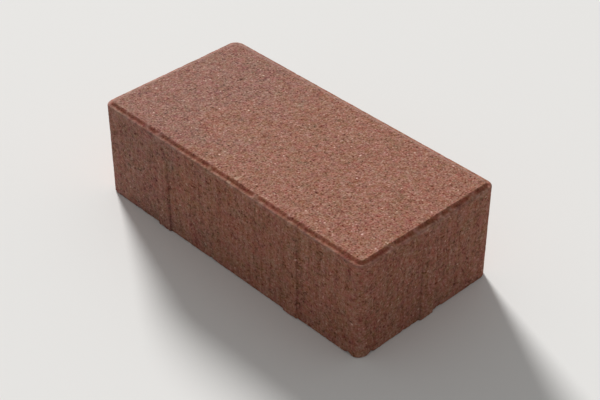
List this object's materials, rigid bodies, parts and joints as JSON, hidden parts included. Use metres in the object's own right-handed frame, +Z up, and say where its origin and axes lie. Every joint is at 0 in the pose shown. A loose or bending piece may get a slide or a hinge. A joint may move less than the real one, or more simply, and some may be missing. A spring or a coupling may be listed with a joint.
{
  "type": "concrete paving stone",
  "caption": "Rectangular pressed concrete paving stone with a stepped, softly sloping rim around its flat top face and low spacer ribs on its sides.",
  "frame": {"origin": "middle of the flat underside", "axes": "+X along the stone's length, +Y across it, +Z up out of the walking face"},
  "size_m": [0.2, 0.1, 0.06],
  "materials": {
    "concrete": "through-coloured pressed concrete, matt and finely sandy, red-brown drifting from a greyer brown at one end to an orange brown at the other"
  },
  "bodies": {
    "root": {"paving_stone": "concrete"}
  },
  "joints": []
}
